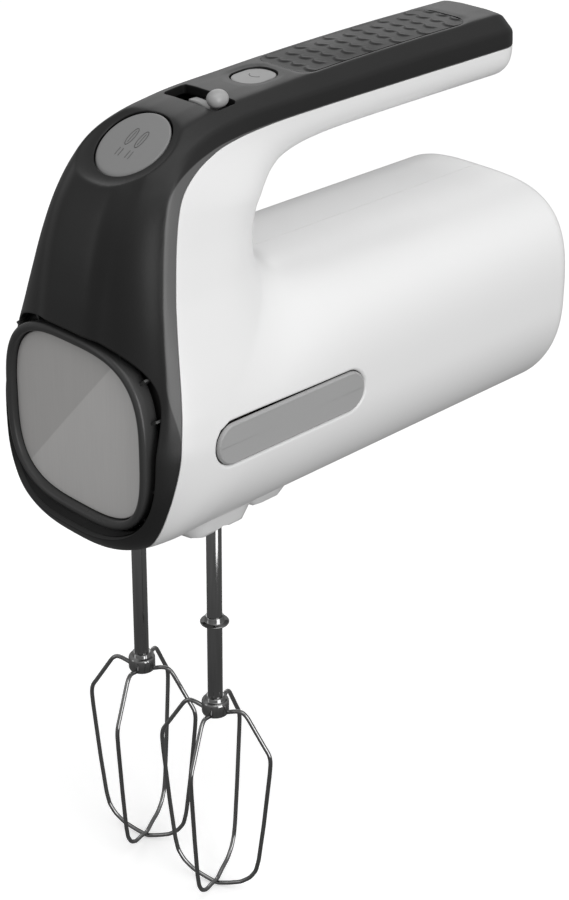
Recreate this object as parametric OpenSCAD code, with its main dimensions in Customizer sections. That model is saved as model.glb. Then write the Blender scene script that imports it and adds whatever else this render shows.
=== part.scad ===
// Hand mixer: two white housing halves, a dark nose-and-handle cover, a worm-driven pair of beaters,
// an ejector, a speed lever and a turbo key. X is across, the nose points to -Y, Z is up.
// The origin is the middle of the footprint, level with the lowest point of the beaters.
// Inside place(), Y is measured from the beater axes.

/* [Body] */
// Largest half width of the motor body
body_w = 44.5; // [44:0.25:45.5]
// Height of the motor body's belly
belly_z = 158; // [157.5:0.25:159]
// Height of the widest line of the body
waist_z = 200; // [199:0.5:201]
// Height of the motor body's roof
roof_z = 244.5; // [244:0.25:245.5]
// Rear face of the motor body, from the beater axes
rear_y = 163.2; // [162:0.2:166]
// Wall thickness of the housing
wall = 2.4; // [2:0.1:2.8]

/* [Handle] */
// Half width of the handle
handle_w = 18.7; // [18:0.1:20]
// Height of the top of the handle
top_z = 307; // [306.5:0.1:308]
// Height of the line between white housing and dark cover on the handle
seam_z = 295.2; // [294.5:0.1:296.5]

/* [Beaters] */
// Distance from the middle to each beater axis
axis_x = 20; // [20:0.01:20.1]
// Place of the beater axes along the mixer
axis_y = -57.88; // [-60:0.01:-57]
// Largest radius of the beater wires
loop_r = 21.8; // [20:0.2:22.2]
// Radius of one beater wire
wire_r = 0.8; // [0.7:0.05:1]
// Radius of the beater shaft
shaft_r = 2.75; // [2.6:0.05:2.8]
// Height of the middle of the beater hub
hub_z = 82.5; // [81:0.5:84]

/* [Drive] */
// Height of the motor axis
motor_z = 190; // [189.5:0.1:190.5]

/* [Hidden] */
$fn = 48;

white = [0.93, 0.93, 0.94];
charcoal = [0.12, 0.12, 0.13];
grey = [0.58, 0.57, 0.57];
steel = [0.75, 0.76, 0.78];
copper = [0.72, 0.42, 0.22];
fit_gap = 0.05;
lug_r = 4.2;
bore_r = lug_r + 0.5;
end_round = 10;
teeth = 24;
gear_r = 15;
worm_r = axis_x - gear_r;
lead = 2 * PI * gear_r / teeth;
thread_offset = 0.85;

// Outer side line from the heel along the belly, round the nose and back along the top of the handle.
outer_line = [
    [rear_y - end_round, belly_z], [115, belly_z], [75, belly_z], [35, belly_z], [0, belly_z],
    [-23, belly_z + 0.6], [-34.2, belly_z + 2], [-44.6, belly_z + 5.8], [-50.2, belly_z + 15.6],
    [-51.7, belly_z + 26.6], [-51.5, belly_z + 39], [-50.8, belly_z + 52], [-49.2, 222], [-46.5, 236.8],
    [-44.2, 251.3], [-40.7, 266.6], [-35.3, 279.8], [-25.7, 291.6], [-10.7, 299], [8.9, 303.1],
    [34.9, 304.8], [65, top_z - 0.8], [105, top_z], [147, top_z]
];
// Matching inner line: along the roof, round the blind end of the grip opening, under the handle.
inner_line = [
    [rear_y - end_round, roof_z], [115, roof_z], [75, roof_z], [50, roof_z],
    [39, roof_z + 0.2], [33, roof_z + 1.1], [28.8, roof_z + 2.8], [26, roof_z + 5],
    [24.2, roof_z + 7.4], [23, roof_z + 9.8], [22.3, roof_z + 12], [22, roof_z + 14.2], [21.9, 261],
    [22.2, 263.5], [23, 266], [24.4, 268.8], [26.6, 271.6], [29.8, 274.4], [34.5, 277.3],
    [41, 279.6], [53, 281.6], [69, 282.4], [105, 282.6], [147, 282.6]
];
// How far each station has left the body's width for the neck's width.
neck_mix = [0, 0, 0, 0.05, 0.25, 0.5, 0.75, 0.9, 1, 1, 1, 1, 1, 1, 1, 1, 1, 1, 1, 1, 1, 1, 1, 1];
// Height and half width of the neck.
neck_line = [
    [158, 44.5], [205, 44.3], [215, 42.8], [225, 40.2], [237, 36.4], [251, 32], [265, 28.8],
    [277, 26.6], [287, 24.8], [295, 22.6], [304, 20]
];
stations = len(outer_line);
around = 28;
// Side line of the joint between the white housing and the dark cover.
seam_line = [
    [180, seam_z], [60, seam_z - 0.1], [30.4, seam_z - 0.4], [15.8, seam_z - 1], [4.2, seam_z - 2.2],
    [-5.8, 290], [-12.6, 286.4], [-16.5, 282.9], [-18.8, 278.5], [-21, 271.6], [-23.9, 259.8],
    [-26.5, 248.2], [-28.7, 238], [-30.8, 226.9], [-32.2, 219], [-33.8, 210], [-35, 200.4],
    [-36.8, 191.5], [-38.1, 183.4], [-38.8, 172], [-36.4, 163.5], [-28, 158], [-21, 150]
];

// Point of a list at a fractional station, on a smooth curve through the list.
function pick(list, i) = list[max(0, min(len(list) - 1, i))];
function spline(list, t) =
    let (i = floor(t), f = t - i)
    let (a = pick(list, i - 1), b = pick(list, i), c = pick(list, i + 1), d = pick(list, i + 2))
    b + 0.5 * f * ((c - a) + f * ((2 * a - 5 * b + 4 * c - d) + f * (3 * (b - c) + d - a)));
function mix(a, b, f) = a + (b - a) * f;
function ramp(a, b, v) = let (f = max(0, min(1, (v - a) / (b - a)))) f * f * (3 - 2 * f);
function signed_pow(v, p) = (v < 0 ? -1 : 1) * pow(abs(v), p);
// The neck narrows from the body's width to the handle's width.
function neck_w(z, t) = mix(min(body_w, lookup(z, neck_line)), handle_w, ramp(16, 20, t));

// One ring of the skin at station t: inset moves it inwards, shift slides it along the mixer.
function ring(t, inset, shift) =
    let (o0 = spline(outer_line, t), i0 = spline(inner_line, t))
    let (long = norm(i0 - o0), dir = (i0 - o0) / long)
    let (o = o0 + dir * inset, i = i0 - dir * inset)
    let (waist = mix((waist_z - belly_z) / (roof_z - belly_z), 0.5, ramp(9, 18, t)))
    let (blend = spline(neck_mix, t))
    let (n_out = mix(2.4, mix(3.1, mix(3.5, 3.1, ramp(17, 20, t)), ramp(11, 14, t)), ramp(4, 9, t)))
    [for (k = [0 : around - 1])
        let (a = 360 * k / around, n = cos(a) < 0 ? n_out : 3)
        let (v = signed_pow(cos(a), 2 / n), u = signed_pow(sin(a), 2 / n))
        let (p = o + (i - o) * (v < 0 ? waist * (1 + v) : waist + (1 - waist) * v))
        let (w = mix(body_w, neck_w(p[1], t), blend) - inset)
        [w * u, p[0] + shift, p[1]]
    ];

// Closed skin of the mixer, moved inwards by inset, with rounded heel and rounded handle end.
// steps is the number of rings from one station to the next.
module skin(inset, steps) {
    quarter = [for (e = [0 : 4]) 22.5 * e];
    heel = [for (e = [4 : -1 : 0])
        ring(0, inset + end_round * (1 - cos(quarter[e])), (end_round - inset) * sin(quarter[e]))];
    run = [for (s = [1 : steps * (stations - 1) - 1]) ring(s / steps, inset, 0)];
    grip = [for (e = [0 : 4])
        ring(stations - 1, inset + end_round * (1 - cos(quarter[e])), (10 - inset) * sin(quarter[e]))];
    rings = concat(heel, run, grip);
    last = (len(rings) - 1) * around;
    sides = [for (r = [0 : len(rings) - 2]) for (k = [0 : around - 1])
        let (a = r * around + k, b = r * around + (k + 1) % around)
        each [[a, b, b + around], [a, b + around, a + around]]];
    heel_cap = [for (k = [1 : around - 2]) [0, k + 1, k]];
    grip_cap = [for (k = [1 : around - 2]) [last, last + k, last + k + 1]];
    polyhedron([for (r = rings) each r], concat(sides, heel_cap, grip_cap), convexity = 6);
}

module place() {
    translate([0, axis_y, 0])
        children();
}

// Everything in front of and above the joint line.
module cover_zone() {
    rotate([90, 0, 90])
        linear_extrude(120, center = true)
            polygon(concat(seam_line, [[-90, 150], [-90, 330], [180, 330]]));
}

module side_block(side) {
    translate([side * 100, 50, 230])
        cube([200, 400, 300], center = true);
}

// Cylinder along X or Y between two values.
module x_rod(from, to, y, z, r) {
    translate([from, y, z])
        rotate([0, 90, 0])
            cylinder(r = r, h = to - from);
}

module y_rod(from, to, x, z, r) {
    translate([x, from, z])
        rotate([-90, 0, 0])
            cylinder(r = r, h = to - from);
}

module y_tube(from, to, x, z, r, bore) {
    difference() {
        y_rod(from, to, x, z, r);
        y_rod(from - 1, to + 1, x, z, bore);
    }
}

// Rounded rectangle of half sizes a and b, lying in XY.
module pill(a, b, r) {
    for (x = [-1, 1], y = [-1, 1])
        translate([x * (a - r), y * (b - r)])
            circle(r);
    square([2 * a, 2 * (b - r)], center = true);
    square([2 * (a - r), 2 * b], center = true);
}

// Rounded square with bulging sides about a height, lying in XZ and extruded towards the heel.
module nose_squircle(a, b, n, from, to, middle = 203.7) {
    translate([0, to, middle])
        rotate([90, 0, 0])
            linear_extrude(to - from)
                polygon([for (k = [0 : 47]) let (t = 7.5 * k)
                    [a * signed_pow(cos(t), 2 / n), b * signed_pow(sin(t), 2 / n)]]);
}

// Place along the mixer, height and reach from the middle of each screw boss.
screw_places = [[148, 178, 38.6], [146, 232, 36.4], [38, 236, 32], [70, 289, 17.2], [130, 289, 17.2]];

module housing(side) {
    difference() {
        intersection() {
            union() {
                difference() {
                    skin(0, 2);
                    skin(wall, 1);
                }
                // Socket boss under the gears and a smaller vent boss behind it.
                translate([0, 0, belly_z - 0.4])
                    linear_extrude(8)
                        pill(25.5, 14, 7);
                translate([0, 24, belly_z + 0.6])
                    linear_extrude(7)
                        pill(23, 8, 4);
                // Posts that the gear carrier stands on.
                for (x = [-1, 1])
                    translate([x * 27, 10, belly_z + 4])
                        cylinder(r = 3, h = carrier_z - belly_z - 4);
            }
            side_block(side);
        }
        cover_zone();
        translate([side * axis_x, 0, belly_z - 5])
            cylinder(r = bore_r, h = 20);
        // Recess of the side plate.
        x_rod(side > 0 ? 43.2 : -60, side > 0 ? 60 : -43.2, -13, 203, 8);
        x_rod(side > 0 ? 43.2 : -60, side > 0 ? 60 : -43.2, 41, 203, 8);
        translate([side * 51.2, 14, 203])
            cube([16, 54, 16], center = true);
        y_rod(150, 170, 0, 222, 6.05);
    }
}

module left_housing() {
    color(white)
        place()
            difference() {
                union() {
                    housing(-1);
                    for (p = screw_places)
                        x_rod(-p[2], -0.05, p[0], p[1], 3.4);
                }
                for (p = screw_places)
                    x_rod(-60, 1, p[0], p[1], 1.7);
                for (p = screw_places)
                    x_rod(-60, -10, p[0], p[1], 2.9);
            }
}

module right_housing() {
    color(white)
        place()
            difference() {
                union() {
                    housing(1);
                    for (p = screw_places)
                        x_rod(0.05, p[2], p[0], p[1], 3.4);
                }
                for (p = screw_places)
                    x_rod(-1, 12, p[0], p[1], 1.45);
            }
}

button_y = -14.5;
button_z = 294.3;
button_tilt = 33;
button_a = 13.3;
button_b = button_a * cos(button_tilt);
button_thick = 8;
turbo_y = 38.5;

// Frame whose XY plane is the face of the ejector key.
module key_frame() {
    translate([0, button_y, button_z])
        rotate([button_tilt, 0, 0])
            children();
}

module top_cover() {
    color(charcoal)
        place()
            difference() {
                intersection() {
                    difference() {
                        skin(0, 2);
                        // The cavity leaves a floor for the scoop round the ejector key.
                        difference() {
                            skin(wall, 1);
                            key_frame()
                                translate([0, 0, -4])
                                    cylinder(r = 19, h = 20);
                        }
                    }
                    cover_zone();
                }
                nose_squircle(37.4, 35, 3, -70, bezel_y + 9, 204.4);
                key_frame()
                    cylinder(r1 = button_a + 1, r2 = button_a + 13, h = 12);
                translate([0, button_y, 268])
                    linear_extrude(40)
                        scale([button_a + 0.6, button_b + 0.6])
                            circle(1);
                translate([0, turbo_y, 295])
                    linear_extrude(20)
                        pill(7, 8.1, 6.2);
                // Slot for the speed lever.
                translate([1.4, 12.8, 290])
                    linear_extrude(30)
                        pill(12.4, 5, 2);
                // Shallow bed of the grip pad.
                translate([0, 92, 305.4])
                    linear_extrude(5)
                        pill(12.4, 42.4, 6);
            }
}

bezel_y = -44.2;

// Dark ring in the nose opening, with air slots around it.
module front_bezel() {
    color(charcoal)
        place()
            difference() {
                nose_squircle(35.2, 33.3, 3, bezel_y, bezel_y + 7);
                nose_squircle(32.2, 29.9, 3.2, bezel_y - 1, bezel_y + 5.2);
                nose_squircle(28, 26, 3, bezel_y - 1, bezel_y + 8);
            }
}

module badge_plate() {
    color(grey)
        place()
            nose_squircle(31.9, 29.6, 3.2, bezel_y + 2.7, bezel_y + 5.2);
}

module side_plates() {
    color(grey)
        place()
            for (side = [-1, 1]) {
                translate([side * 44 - 0.8, 0, 0]) {
                    x_rod(0, 1.6, -13, 203, 7.4);
                    x_rod(0, 1.6, 41, 203, 7.4);
                    translate([0.8, 14, 203])
                        cube([1.6, 54, 14.8], center = true);
                }
            }
}

module grip_pad() {
    color(charcoal)
        place()
            translate([0, 92, 305.4])
                linear_extrude(top_z - 305.4)
                    pill(12, 42, 6);
}

gland_r = 3.5;

module cord_gland() {
    color(charcoal)
        place()
            difference() {
                union() {
                    y_rod(153, rear_y + 0.8, 0, 222, 6);
                    y_rod(157, 160, 0, 222, 9);
                }
                y_rod(150, rear_y + 5, 0, 222, gland_r);
            }
}

module heel_feet() {
    color(charcoal)
        place()
            for (x = [-1, 1], z = [180, 214])
                y_rod(rear_y, rear_y + 1, 22 * x, z, 4);
}

module case_screws() {
    color(steel)
        place()
            for (p = screw_places) {
                x_rod(-13, 11, p[0], p[1], 1.4);
                x_rod(-13, -10.05, p[0], p[1], 2.6);
            }
}

carrier_z = 176;
journal_r = 6;

// Plate with the two bushes that the beater gears turn in.
module gear_carrier() {
    color([0.82, 0.82, 0.78])
        place()
            difference() {
                translate([0, 0, carrier_z])
                    linear_extrude(5)
                        pill(31, 16, 8);
                for (x = [-1, 1])
                    translate([x * axis_x, 0, carrier_z - 1])
                        cylinder(r = journal_r + fit_gap, h = 10);
            }
}

module front_bush() {
    color([0.8, 0.65, 0.35])
        place()
            difference() {
                union() {
                    y_rod(-26, -20, 0, motor_z, 5.5);
                    translate([0, -23, motor_z - 6.5])
                        cube([14, 6, 5], center = true);
                }
                y_rod(-30, 0, 0, motor_z, 2.5 + fit_gap);
            }
}

// Rear bearing plate of the motor.
module rear_bracket() {
    color([0.7, 0.7, 0.72])
        place()
            difference() {
                union() {
                    y_rod(128, 133, 0, motor_z, 8);
                    translate([0, 130.5, motor_z])
                        cube([60, 3, 10], center = true);
                }
                y_rod(120, 140, 0, motor_z, 2.5 + fit_gap);
            }
}

module stator_core() {
    color([0.45, 0.46, 0.5])
        place()
            difference() {
                y_rod(48, 78, 0, motor_z, 27);
                y_rod(40, 90, 0, motor_z, 16);
                for (z = [-1, 1])
                    translate([0, 63, motor_z + 19.5 * z])
                        cube([26, 40, 6], center = true);
            }
}

module field_coils() {
    color(copper)
        place()
            for (z = [-1, 1])
                translate([0, 63, motor_z + 19.5 * z])
                    difference() {
                        cube([25, 44, 5], center = true);
                        cube([16, 32, 9], center = true);
                    }
}

module brush_holders() {
    color([0.8, 0.68, 0.35])
        place()
            for (x = [-1, 1])
                translate([18 * x, 92, motor_z])
                    difference() {
                        cube([16, 8, 8], center = true);
                        cube([18, 5.2, 5.2], center = true);
                    }
}

module carbon_brushes() {
    color([0.15, 0.15, 0.15])
        place()
            for (x = [-1, 1])
                translate([15.8 * x, 92, motor_z])
                    cube([12.8, 5, 5], center = true);
}

module armature_shaft() {
    color(steel)
        place()
            y_rod(-28, 136, 0, motor_z, 2.5);
}

module armature_core() {
    color([0.5, 0.35, 0.25])
        place()
            difference() {
                union() {
                    y_rod(48, 78, 0, motor_z, 15);
                    y_rod(43, 83, 0, motor_z, 11.5);
                }
                y_rod(40, 90, 0, motor_z, 2.5);
                for (k = [0 : 11])
                    translate([0, 63, motor_z])
                        rotate([0, 30 * k, 0])
                            translate([14.5, 0, 0])
                                cube([3, 34, 1.6], center = true);
            }
}

module commutator() {
    color(copper)
        place()
            y_tube(85, 98, 0, motor_z, 9, 2.5);
}

worm_half = 10.5;

// One-start worm: an off-centre round swept along its lead.
module worm() {
    turns = 2 * worm_half / lead;
    color([0.85, 0.75, 0.45])
        place()
            difference() {
                translate([0, 0, motor_z])
                    rotate([-90, 0, 0])
                        translate([0, 0, -worm_half])
                            rotate(-360 * worm_half / lead)
                                linear_extrude(2 * worm_half, twist = -360 * turns, slices = 64)
                                    translate([thread_offset, 0])
                                        circle(worm_r, $fn = 16);
                y_rod(-20, 20, 0, motor_z, 2.5);
            }
}

module cooling_fan() {
    color([0.2, 0.22, 0.25])
        place()
            difference() {
                union() {
                    y_rod(108, 122, 0, motor_z, 6);
                    y_rod(120, 122, 0, motor_z, 24);
                    for (k = [0 : 10])
                        translate([0, 115, motor_z])
                            rotate([0, 360 / 11 * k, 0])
                                translate([14.5, 0, 0])
                                    cube([18, 11, 1.6], center = true);
                }
                y_rod(100, 130, 0, motor_z, 2.5);
            }
}

tip_r = gear_r + 0.4;
root_r = gear_r - 1.05;
shaft_top = 202;

// Worm wheel: trapezoid teeth, a journal that turns in the carrier, and a keyed bore.
module gear(side) {
    turn = side > 0 ? 180 / teeth : 0;
    difference() {
        union() {
            translate([0, 0, motor_z - 3])
                linear_extrude(6)
                    union() {
                        circle(root_r);
                        for (k = [0 : teeth - 1])
                            rotate(360 / teeth * k + turn)
                                polygon([[root_r - 1, -0.9], [gear_r - 0.4, -0.85], [tip_r, -0.36],
                                    [tip_r, 0.36], [gear_r - 0.4, 0.85], [root_r - 1, 0.9]]);
                    }
            translate([0, 0, carrier_z - 1])
                cylinder(r = journal_r, h = 18.5);
            translate([0, 0, carrier_z + 5.3])
                cylinder(r = 7.5, h = 3);
        }
        translate([0, 0, carrier_z - 10])
            cylinder(r = shaft_r + fit_gap, h = 40);
        for (k = [0 : 1])
            rotate(90 * k + 22.5)
                translate([0, 0, carrier_z + 2])
                    cube([9.2, 1.8, 20], center = true);
    }
}

module left_gear() {
    color([0.9, 0.88, 0.8])
        place()
            translate([-axis_x, 0, 0])
                gear(-1);
}

module right_gear() {
    color([0.9, 0.88, 0.8])
        place()
            translate([axis_x, 0, 0])
                gear(1);
}

fork_z = 206;

// Round-faced key in the scoop of the nose. It slides straight down, so its sides are upright.
module eject_button() {
    color(grey)
        place()
            intersection() {
                translate([0, button_y, 268])
                    linear_extrude(40)
                        scale([button_a, button_b])
                            circle(1);
                key_frame()
                    translate([0, 0, -button_thick / 2])
                        cube([60, 60, button_thick], center = true);
            }
}

module ejector_fork() {
    color([0.3, 0.3, 0.32])
        place()
            difference() {
                union() {
                    translate([0, button_y, fork_z])
                        cylinder(r = 3, h = 86);
                    translate([0, -5, fork_z])
                        linear_extrude(3)
                            pill(26, 12, 5);
                }
                for (x = [-1, 1])
                    translate([x * axis_x, 0, fork_z - 1])
                        cylinder(r = 2 + fit_gap, h = 6);
                // The rod ends on the underside of the key.
                key_frame()
                    translate([0, 0, 20 - button_thick])
                        cube([40, 40, 40], center = true);
            }
}

guide_z = 252;

// Shelf across the neck that guides the ejector rod and carries its spring.
module ejector_guide() {
    color([0.3, 0.3, 0.32])
        place()
            difference() {
                translate([0, -8, guide_z])
                    linear_extrude(3)
                        pill(26, 14, 5);
                translate([0, button_y, guide_z - 1])
                    cylinder(r = 3 + fit_gap, h = 6);
            }
}

module eject_spring() {
    color(steel)
        place()
            translate([0, button_y, 0])
                for (k = [0 : 5])
                    translate([0, 0, guide_z + 3.6 + 3.8 * k])
                        rotate_extrude()
                            translate([4.6, 0])
                                circle(0.5, $fn = 16);
}

// Spinning cap between the fork and the top of a beater shaft.
module push_cup() {
    translate([0, 0, shaft_top])
        cylinder(r = 4.5, h = fork_z - shaft_top - 0.1);
    translate([0, 0, shaft_top])
        cylinder(r = 2, h = 8.5);
    translate([0, 0, fork_z + 3.1])
        cylinder(r = 3, h = 1.2);
}

module left_push_cup() {
    color([0.85, 0.85, 0.8])
        place()
            translate([-axis_x, 0, 0])
                push_cup();
}

module right_push_cup() {
    color([0.85, 0.85, 0.8])
        place()
            translate([axis_x, 0, 0])
                push_cup();
}

hub_half = 3;

// Beater shaft with its four driving lugs and the groove of the detent.
module beater_shaft() {
    difference() {
        union() {
            translate([0, 0, hub_z - hub_half])
                cylinder(r = shaft_r, h = shaft_top - hub_z + hub_half);
            for (k = [0 : 1])
                rotate(90 * k + 22.5)
                    translate([0, 0, carrier_z + 5.5])
                        cube([2 * lug_r, 1.2, 8], center = true);
        }
        translate([0, 0, 197])
            rotate_extrude()
                translate([shaft_r + 0.3, 0])
                    circle(0.8, $fn = 24);
    }
}

module beater_hub() {
    difference() {
        union() {
            translate([0, 0, hub_z - hub_half])
                cylinder(r = 5, h = 2 * hub_half);
            translate([0, 0, hub_z + hub_half])
                cylinder(r = 3.6, h = 1.5);
        }
        translate([0, 0, hub_z - 10])
            cylinder(r = shaft_r, h = 30);
    }
}

// Half profile of a wire loop: out of the hub, up to the shoulder, down to the widest corner and
// round under the axis. The second loop passes just inside the first at the bottom.
function loop_half(drop) = [
    [4.6, hub_z - 2], [8, hub_z - 0.6], [10.4, hub_z - 0.2], [12.4, hub_z - 1.8],
    [loop_r - 2.2, 68.8], [loop_r - 0.5, 66.2], [loop_r, 63.2], [loop_r - 0.3, 58], [loop_r - 2.6, 34],
    [loop_r - 4.6, 17], [loop_r - 5.8, 11.5], [loop_r - 8.2, 7.6], [loop_r - 12, 4.4 - drop / 3],
    [5, 1.6 + wire_r - drop], [0, wire_r - drop]
];

// Round wire swept along points in the XZ plane.
module wire(points, r, sides) {
    count = len(points);
    function heading(i) =
        let (d = points[min(count - 1, i + 1)] - points[max(0, i - 1)]) d / norm(d);
    rings = [for (i = [0 : count - 1]) let (h = heading(i)) for (k = [0 : sides - 1])
        let (a = 360 * k / sides)
        [points[i][0] - h[1] * r * cos(a), r * sin(a), points[i][1] + h[0] * r * cos(a)]];
    faces = [for (i = [0 : count - 2]) for (k = [0 : sides - 1])
        let (a = i * sides + k, b = i * sides + (k + 1) % sides)
        each [[a, b + sides, b], [a, a + sides, b + sides]]];
    start = [[for (k = [0 : sides - 1]) k]];
    end = [[for (k = [sides - 1 : -1 : 0]) (count - 1) * sides + k]];
    polyhedron([for (p = rings) p], concat(faces, start, end), convexity = 4);
}

module loop(turn, drop) {
    half = loop_half(drop);
    back = [for (i = [len(half) - 2 : -1 : 0]) [-half[i][0], half[i][1]]];
    rotate(turn)
        wire(concat(half, back), wire_r, 10);
}

module beater_loop(side, turn, drop) {
    color(steel)
        place()
            translate([side * axis_x, 0, 0])
                loop(turn, drop);
}

loop_step = -2 * wire_r - 0.1;

module left_wire_a() {
    beater_loop(-1, 22.5, 0);
}

module left_wire_b() {
    beater_loop(-1, 112.5, loop_step);
}

module right_wire_a() {
    beater_loop(1, 22.5, 0);
}

module right_wire_b() {
    beater_loop(1, 112.5, loop_step);
}

module left_shaft() {
    color(steel)
        place()
            translate([-axis_x, 0, 0])
                beater_shaft();
}

module right_shaft() {
    color(steel)
        place()
            translate([axis_x, 0, 0])
                beater_shaft();
}

module left_hub() {
    color(steel)
        place()
            translate([-axis_x, 0, 0])
                beater_hub();
}

module right_hub() {
    color(steel)
        place()
            translate([axis_x, 0, 0])
                beater_hub();
}

// Ring that marks the beater with the wider drive.
module right_collar() {
    color(steel)
        place()
            translate([axis_x, 0, 118])
                difference() {
                    union() {
                        cylinder(r = 5.2, h = 0.8);
                        cylinder(r = 3.5, h = 3);
                    }
                    translate([0, 0, -1])
                        cylinder(r = shaft_r, h = 6);
                }
}

lever_y = 13;
lever_z = 280;
knob_turn = 21.6;
knob_reach = 26.4;

// Sector that sweeps across the slot behind the ejector button.
module speed_lever() {
    color(grey)
        place()
            difference() {
                union() {
                    y_rod(lever_y - 2, lever_y + 2, 0, lever_z, 4);
                    intersection() {
                        y_tube(lever_y - 2, lever_y + 2, 0, lever_z, 22.2, 19.2);
                        translate([4, lever_y, lever_z + 20])
                            cube([12, 8, 20], center = true);
                    }
                    translate([0, lever_y, lever_z])
                        rotate([0, knob_turn, 0])
                            translate([0, 0, 20])
                                cylinder(r = 1.6, h = 5);
                    translate([0, lever_y, lever_z + 11.5])
                        cube([4, 4, 19], center = true);
                }
                y_rod(lever_y - 5, lever_y + 5, 0, lever_z, 1.5 + fit_gap);
            }
}

module speed_knob() {
    color([0.7, 0.7, 0.7])
        place()
            translate([0, lever_y, lever_z])
                rotate([0, knob_turn, 0])
                    translate([0, 0, knob_reach])
                        scale([3.3, 4.1, 3])
                            sphere(1);
}

module lever_pin() {
    color(steel)
        place()
            y_rod(lever_y - 6, lever_y + 6, 0, lever_z, 1.5);
}

module turbo_button() {
    color(grey)
        place() {
            translate([0, turbo_y, 299])
                linear_extrude(5.6)
                    pill(6.6, 7.7, 5.8);
            translate([0, turbo_y, 296.5])
                cylinder(r = 2, h = 3);
        }
}

module turbo_spring() {
    color(steel)
        place()
            for (k = [0 : 2])
                translate([0, turbo_y, 294.2 + 1.5 * k])
                    rotate_extrude()
                        translate([3, 0])
                            circle(0.3, $fn = 16);
}

module turbo_switch() {
    color([0.1, 0.1, 0.1])
        place()
            translate([0, turbo_y, 290.6])
                cube([12, 8, 5], center = true);
}

module control_board() {
    color([0.1, 0.4, 0.2])
        place()
            translate([0, 48.5, 287.2])
                cube([24, 33, 1.6], center = true);
}

module speed_switch() {
    color([0.15, 0.15, 0.16])
        place()
            translate([0, 58, 291])
                cube([14, 12, 6], center = true);
}

left_housing();
right_housing();
top_cover();
front_bezel();
badge_plate();
side_plates();
grip_pad();
cord_gland();
heel_feet();
case_screws();
gear_carrier();
front_bush();
rear_bracket();
stator_core();
field_coils();
brush_holders();
carbon_brushes();
armature_shaft();
armature_core();
commutator();
worm();
cooling_fan();
left_gear();
right_gear();
eject_button();
ejector_fork();
ejector_guide();
eject_spring();
left_push_cup();
right_push_cup();
left_shaft();
left_hub();
left_wire_a();
left_wire_b();
right_shaft();
right_hub();
right_collar();
right_wire_a();
right_wire_b();
speed_lever();
speed_knob();
lever_pin();
turbo_button();
turbo_spring();
turbo_switch();
control_board();
speed_switch();
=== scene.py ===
"""Looks of the hand mixer: finer shells, keys, grip, beaters and materials round the CAD frame."""
import math

import bmesh
import bpy
import numpy as np
from mathutils import Matrix, Vector


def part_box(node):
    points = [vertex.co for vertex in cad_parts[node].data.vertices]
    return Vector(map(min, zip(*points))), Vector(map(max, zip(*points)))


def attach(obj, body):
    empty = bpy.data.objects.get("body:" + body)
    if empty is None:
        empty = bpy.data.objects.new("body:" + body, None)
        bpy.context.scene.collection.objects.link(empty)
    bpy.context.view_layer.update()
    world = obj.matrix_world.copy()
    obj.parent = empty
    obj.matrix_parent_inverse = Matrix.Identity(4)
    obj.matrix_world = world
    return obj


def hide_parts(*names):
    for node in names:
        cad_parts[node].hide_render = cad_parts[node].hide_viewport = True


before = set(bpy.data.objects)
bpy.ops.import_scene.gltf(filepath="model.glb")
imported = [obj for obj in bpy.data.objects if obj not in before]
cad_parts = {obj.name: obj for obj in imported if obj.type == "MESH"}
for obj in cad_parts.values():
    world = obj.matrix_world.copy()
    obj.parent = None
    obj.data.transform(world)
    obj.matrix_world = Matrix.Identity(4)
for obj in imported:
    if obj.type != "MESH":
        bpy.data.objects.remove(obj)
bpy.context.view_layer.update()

# Shapes are worked out in millimetres, with Y measured from the beater axes.
MM = 0.001


def low_high(node):
    """Corners of a CAD node's box in millimetres."""
    low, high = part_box(node)
    return np.array(low) / MM, np.array(high) / MM


AXIS_X, AXIS_Y = (np.array(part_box("right_shaft")).mean(0) / MM)[:2]
BODY_W = low_high("right_housing")[1][0]
REAR_Y = low_high("left_housing")[1][1] - AXIS_Y
TOP_Z = low_high("grip_pad")[1][2]
BEZEL_Y = low_high("front_bezel")[0][1] - AXIS_Y
PLATE_X = low_high("side_plates")[1][0]
COLLAR_Z = low_high("right_collar")[0][2]
HUB_LOW, HUB_HIGH = low_high("right_hub")[0][2], low_high("right_hub")[1][2]
SHAFT_TOP = low_high("right_shaft")[1][2]
TURBO_TOP = low_high("turbo_button")[1][2]
LEVER_Z = (low_high("lever_pin")[0][2] + low_high("lever_pin")[1][2]) / 2
GLAND_Y = low_high("cord_gland")[1][1] - AXIS_Y
FOOT_TIP = low_high("heel_feet")[1][1] - AXIS_Y

BADGE_Z = 203.7
OPENING_Z = 204.4
HANDLE_W = 18.7
HEEL_ROUND = 8.0
TIP_ROUND = 10.0
WAIST_Z = 200.0
ROOF_Z = 244.5
BELLY_Z = 158.0
SEAM_Z = 295.2

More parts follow.
